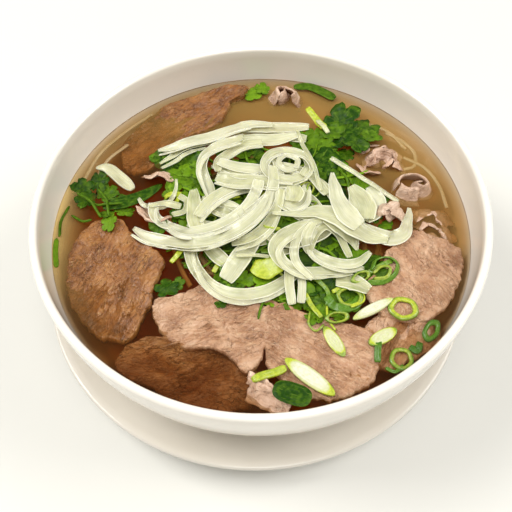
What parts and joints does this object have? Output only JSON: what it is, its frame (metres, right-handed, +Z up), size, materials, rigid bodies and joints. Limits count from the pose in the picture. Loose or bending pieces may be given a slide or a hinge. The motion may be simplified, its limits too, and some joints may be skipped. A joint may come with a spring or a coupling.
{
  "type": "pho noodle soup",
  "caption": "Bowl of noodle soup on an underplate: clear amber broth with rice noodles, sliced beef, herbs and scallion under a heap of thin white onion strips.",
  "frame": {"origin": "on the table, under the middle of the underplate, which is the middle of the object's bounding box", "axes": "+Z up, -Y towards the diner, +X to the diner's right"},
  "size_m": [0.2268, 0.2268, 0.0863],
  "materials": {
    "ceramic": "gloss",
    "broth": "wet, clear liquid",
    "noodle": "wet",
    "beef": "wet, fibrous",
    "herb": "satin",
    "scallion": "wet",
    "onion": "wet, slightly translucent"
  },
  "bodies": {
    "root": {"underplate": "ceramic", "bowl": "ceramic", "broth": "broth", "noodles": "noodle", "beef_slice_back_left": "beef", "beef_slice_left": "beef", "beef_slice_front_left": "beef", "beef_slice_front_sunk": "beef", "beef_slice_front_right": "beef", "beef_slice_right": "beef", "beef_slice_right_sunk": "beef", "beef_scrap_front": "beef", "beef_curl_back": "beef", "beef_curl_far_right": "beef", "beef_curl_right_sunk": "beef", "beef_roll_right": "beef", "beef_bit_left": "beef", "beef_bit_under_onion": "beef", "herb_heap": "herb", "cilantro_clump_left": "herb", "leaf_back": "herb", "blade_back": "herb", "leaf_left": "herb", "leaf_front": "herb", "scallion_slice_front": "scallion", "scallion_strip_front": "scallion", "scallion_slice_right": "scallion", "scallion_slice_white": "scallion", "scallion_ring_right": "scallion", "scallion_ring_slant": "scallion", "scallion_ring_edge": "scallion", "scallion_ring_low": "scallion", "onion_piece_left": "onion", "onion_heap": "onion"}
  },
  "joints": []
}
